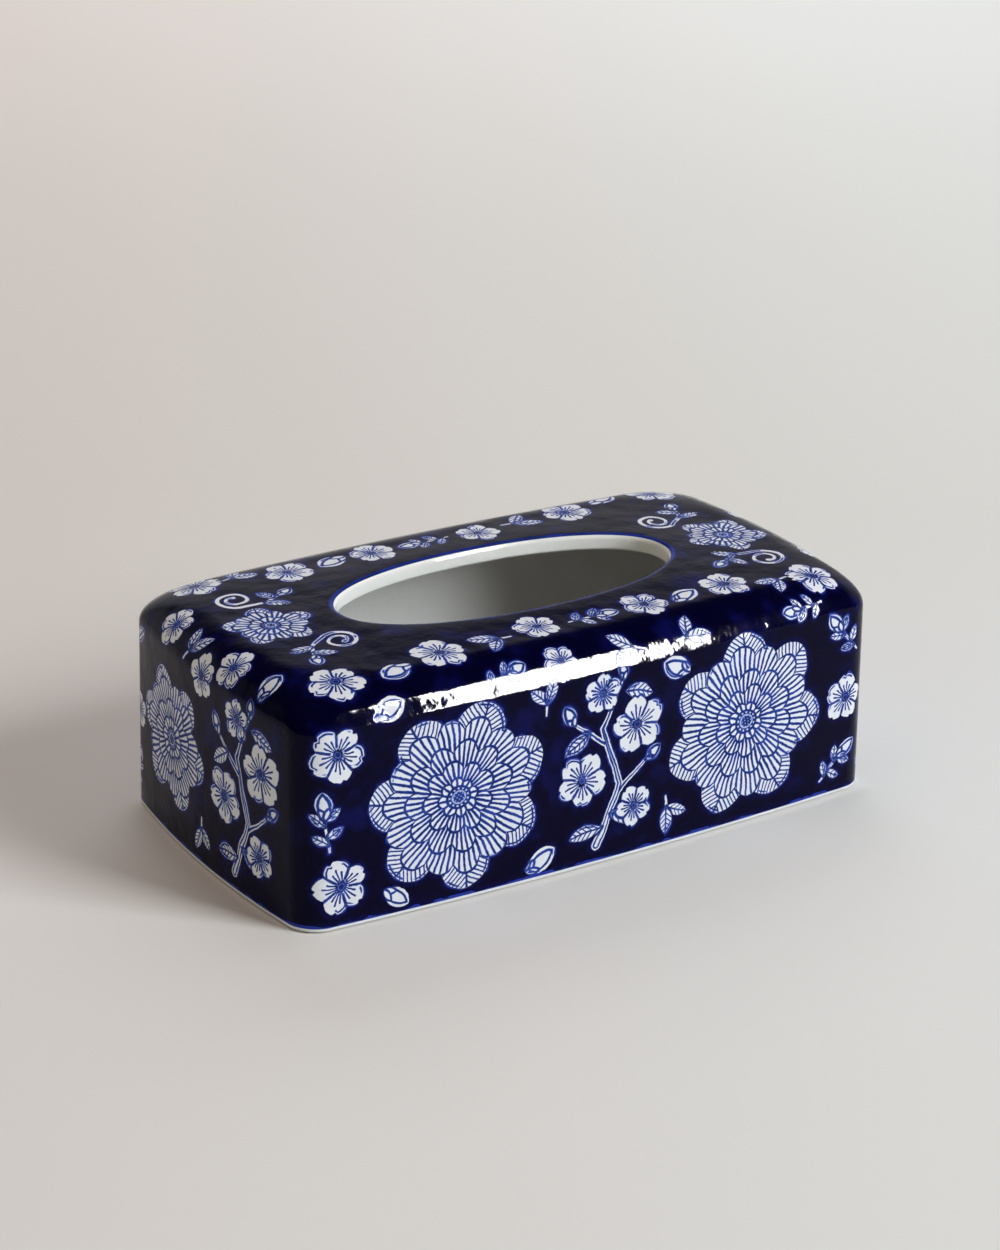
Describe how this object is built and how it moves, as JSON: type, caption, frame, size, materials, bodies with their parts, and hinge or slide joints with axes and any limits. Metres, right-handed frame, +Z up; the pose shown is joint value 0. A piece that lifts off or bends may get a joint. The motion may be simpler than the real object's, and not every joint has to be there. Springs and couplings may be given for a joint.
{
  "type": "tissue box cover",
  "caption": "Long rounded porcelain cover, open underneath, that stands over a flat tissue carton and lets the tissues out through an oval mouth in its top.",
  "frame": {"origin": "centre of the footprint, on the plane that the four pads stand on", "axes": "+X along the long side, +Y from the front long side to the back one, +Z up through the mouth"},
  "size_m": [0.27, 0.15, 0.0921],
  "materials": {
    "cobalt_glazed_porcelain": "glossy clear glaze over cobalt painting on white porcelain",
    "clear_silicone": "soft, clear, satin"
  },
  "bodies": {
    "root": {"porcelain_cover": "cobalt_glazed_porcelain", "foot_pad_front_left": "clear_silicone", "foot_pad_front_right": "clear_silicone", "foot_pad_back_left": "clear_silicone", "foot_pad_back_right": "clear_silicone"}
  },
  "joints": []
}
